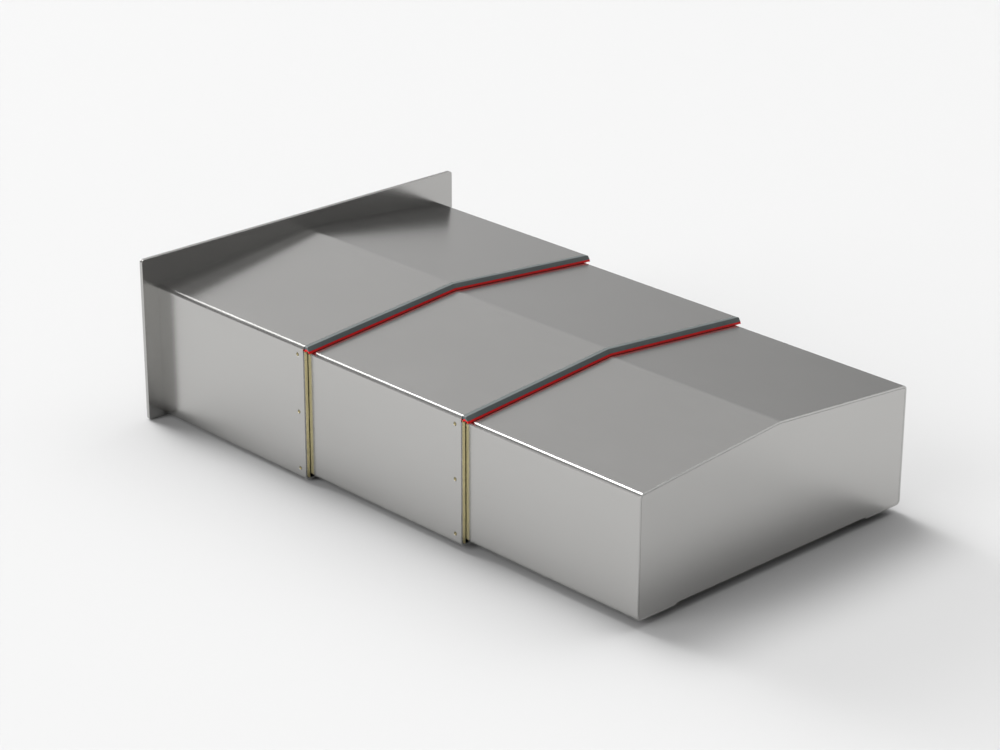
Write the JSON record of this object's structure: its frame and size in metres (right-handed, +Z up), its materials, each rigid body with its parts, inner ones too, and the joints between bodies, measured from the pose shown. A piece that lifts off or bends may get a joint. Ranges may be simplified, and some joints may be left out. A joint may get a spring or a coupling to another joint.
{
  "type": "telescopic way cover",
  "caption": "Telescopic steel way cover: nested gable-roofed sheet boxes with roof wipers and brass side guides, sliding out from a flat mounting plate.",
  "frame": {"origin": "bottom centre of the drawn-out cover: midway between the mounting plate's rear face and the front panel, on the plane of symmetry, level with the mounting plate's lowest edge", "axes": "+X along the travel, from the mounting plate to the front panel; +Y across the cover; +Z up"},
  "size_m": [1, 0.628, 0.26],
  "materials": {
    "sheet_steel": "satin stainless sheet, fine grain along the travel",
    "plate_steel": "satin flat plate",
    "wiper_carrier": "black coated strip, semi-matt",
    "wiper_lip": "red polyurethane, semi-matt",
    "brass": "milled brass, dull",
    "shoe_plastic": "machined sliding plastic",
    "buffer_rubber": "moulded black rubber",
    "plated_steel": "bright zinc plating"
  },
  "bodies": {
    "mount": {"mounting_plate": "plate_steel", "outer_box": "sheet_steel", "outer_wiper_carrier": "wiper_carrier", "outer_wiper_lip": "wiper_lip", "outer_guide_left": "brass", "outer_guide_right": "brass", "outer_guide_rivets": "brass"},
    "middle": {"middle_box": "sheet_steel", "middle_wiper_carrier": "wiper_carrier", "middle_wiper_lip": "wiper_lip", "middle_guide_left": "brass", "middle_guide_right": "brass", "middle_guide_rivets": "brass", "middle_bulkhead": "sheet_steel", "middle_shoe_left": "shoe_plastic", "middle_shoe_right": "shoe_plastic", "middle_shoe_screws": "plated_steel", "middle_buffer_left": "buffer_rubber", "middle_buffer_right": "buffer_rubber", "middle_buffer_studs": "plated_steel", "middle_buffer_nuts": "plated_steel", "middle_stop_left": "brass", "middle_stop_right": "brass"},
    "front": {"front_box": "sheet_steel", "front_panel": "sheet_steel", "front_bulkhead": "sheet_steel", "front_shoe_left": "shoe_plastic", "front_shoe_right": "shoe_plastic", "front_shoe_screws": "plated_steel", "front_buffer_left": "buffer_rubber", "front_buffer_right": "buffer_rubber", "front_buffer_studs": "plated_steel", "front_buffer_nuts": "plated_steel", "front_stop_left": "brass", "front_stop_right": "brass"}
  },
  "joints": [
    {"name": "middle_slide", "type": "slide", "parent": "mount", "child": "middle", "axis": [1, 0, 0], "range_m": [-0.2717, 0.01]},
    {"name": "front_slide", "type": "slide", "parent": "middle", "child": "front", "axis": [1, 0, 0], "range_m": [-0.2987, 0.01]}
  ]
}
